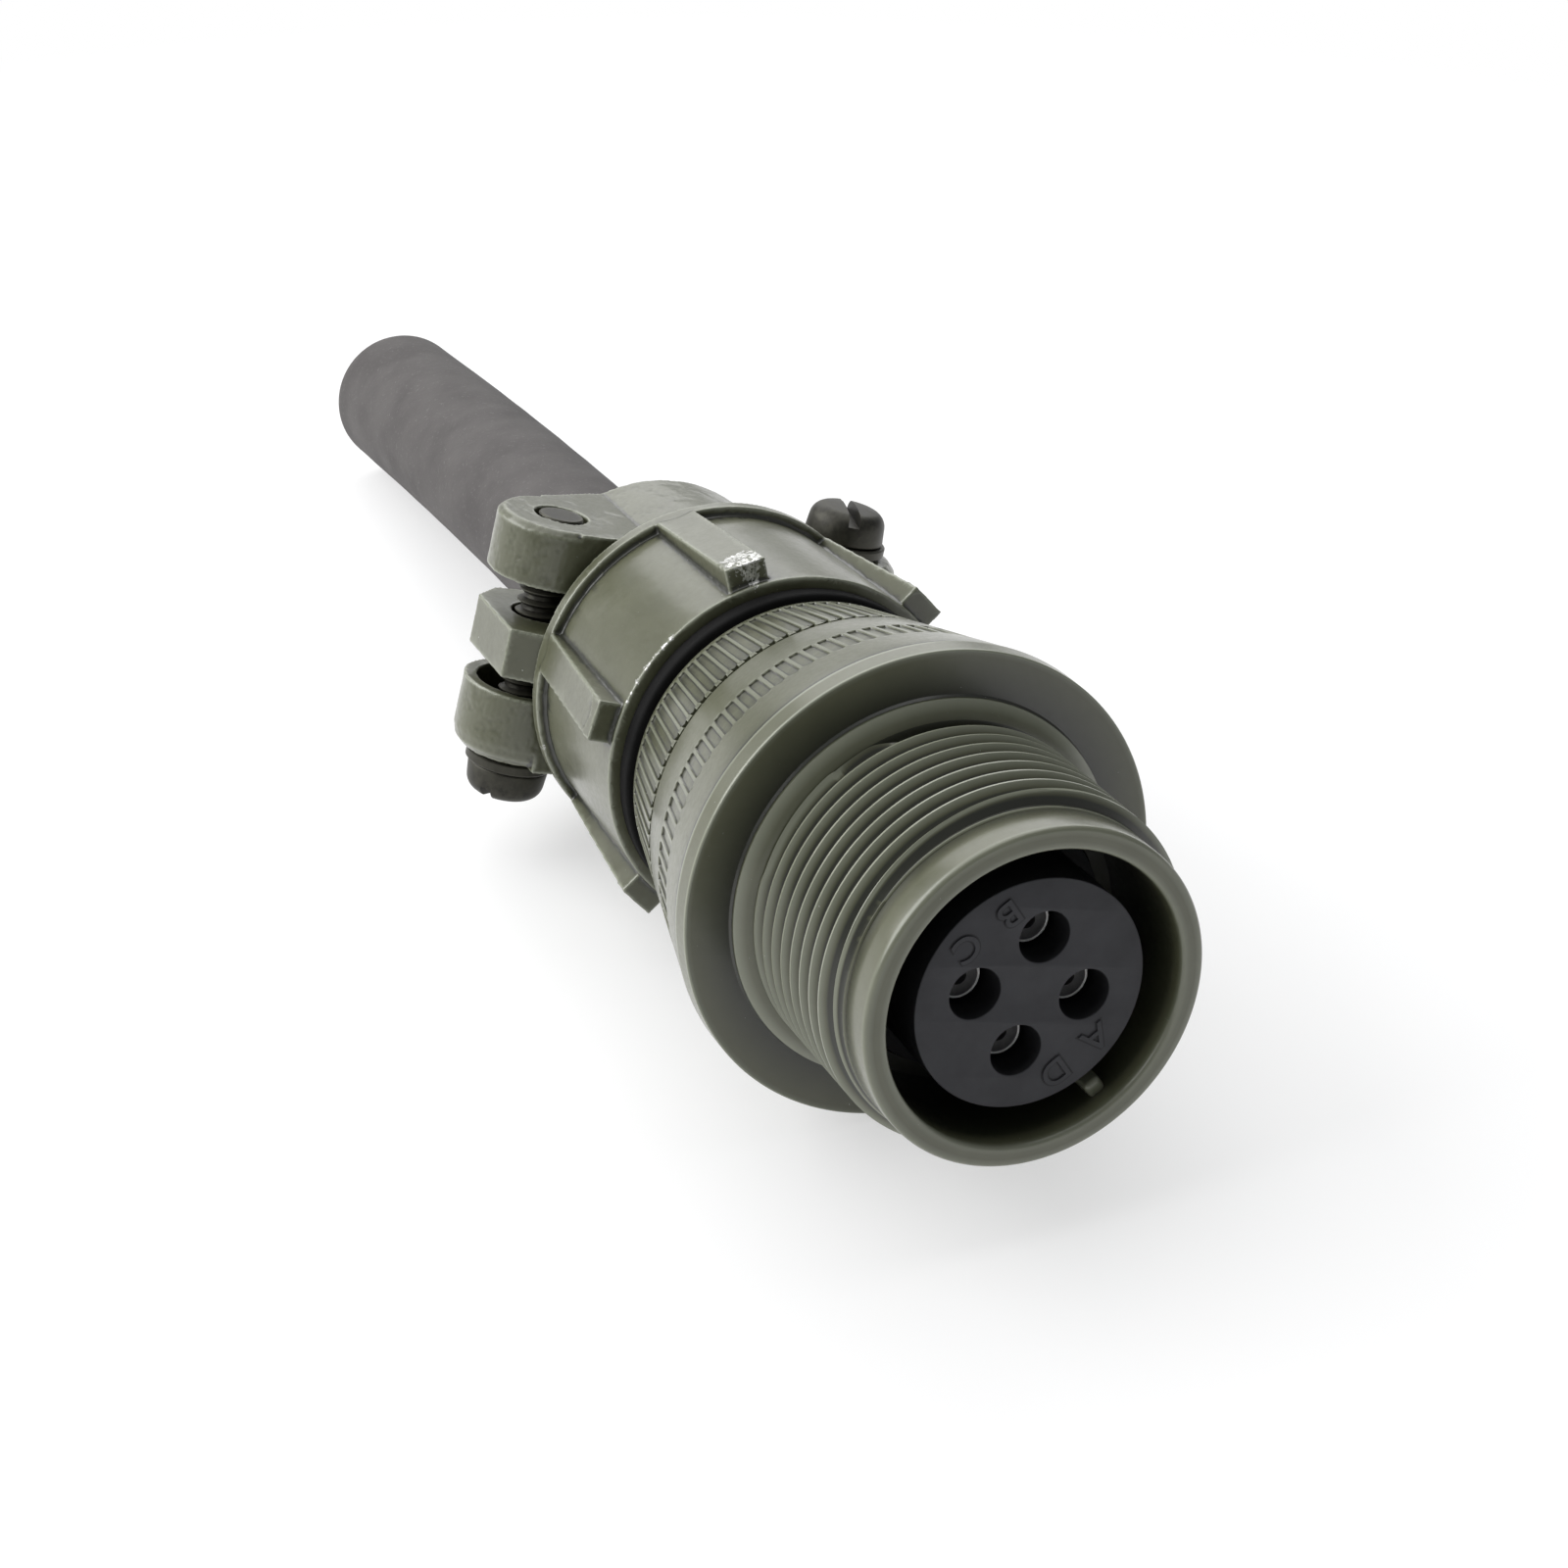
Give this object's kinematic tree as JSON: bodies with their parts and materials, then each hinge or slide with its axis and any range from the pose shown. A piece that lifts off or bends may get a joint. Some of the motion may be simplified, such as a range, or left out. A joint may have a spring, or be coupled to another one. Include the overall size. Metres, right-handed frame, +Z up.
{
  "type": "circular connector plug with a cable clamp",
  "caption": "Olive four-contact threaded circular plug with knurled endbell, ribbed two-saddle cable clamp and black rubber cable sleeve.",
  "frame": {"origin": "on the floor that the plug lies on, under the middle of the whole part", "axes": "+X along the plug from its front lip towards the cable sleeve, +Z up; the plug's own axis dips 4.1 degrees towards the sleeve, as it lies"},
  "size_m": [0.119, 0.032, 0.0298],
  "materials": {
    "olive_paint": "semi-gloss olive drab enamel over die-cast aluminium, chipped on raised edges",
    "insert_plastic": "matte charcoal moulding",
    "contact_metal": "silver-plated copper alloy",
    "seal_rubber": "black moulded rubber",
    "sleeve_rubber": "dusty matte black rubber",
    "ring_steel": "spring steel",
    "screw_steel": "dark olive-bronze plated steel"
  },
  "bodies": {
    "root": {"front_shell": "olive_paint", "front_insert": "insert_plastic", "rear_insert": "insert_plastic", "insert_retaining_ring": "ring_steel", "contact_a": "contact_metal", "contact_b": "contact_metal", "contact_c": "contact_metal", "contact_d": "contact_metal", "endbell": "olive_paint", "sealing_ring": "seal_rubber", "clamp_body": "olive_paint", "cable_sleeve": "sleeve_rubber"},
    "lower_saddle": {"lower_saddle": "olive_paint", "left_lock_washer": "screw_steel"},
    "upper_saddle": {"upper_saddle": "olive_paint", "right_lock_washer": "screw_steel"},
    "left_screw": {"left_screw": "screw_steel"},
    "right_screw": {"right_screw": "screw_steel"}
  },
  "joints": [
    {"name": "lower_saddle_slide", "type": "slide", "parent": "root", "child": "lower_saddle", "axis": [-0.0681, 0.2756, -0.9588], "range_m": [0, 0.00159]},
    {"name": "upper_saddle_slide", "type": "slide", "parent": "root", "child": "upper_saddle", "axis": [0.0681, -0.2756, 0.9588], "range_m": [0, 0.00159]},
    {"name": "left_screw_turn", "type": "hinge", "parent": "lower_saddle", "child": "left_screw", "pos_m": [-0.0055, 0.01005, 0.01507], "axis": [-0.0681, 0.2756, -0.9588], "range_deg": [0, 1440]},
    {"name": "right_screw_turn", "type": "hinge", "parent": "upper_saddle", "child": "right_screw", "pos_m": [-0.0059, -0.01005, 0.00932], "axis": [0.0681, -0.2756, 0.9588], "range_deg": [0, 1440]}
  ],
  "couplings": [
    {"joint": "upper_saddle_slide", "follows": "lower_saddle_slide", "ratio": 1},
    {"joint": "left_screw_turn", "follows": "lower_saddle_slide", "rad_per_m": 15832},
    {"joint": "right_screw_turn", "follows": "lower_saddle_slide", "rad_per_m": 15832}
  ]
}
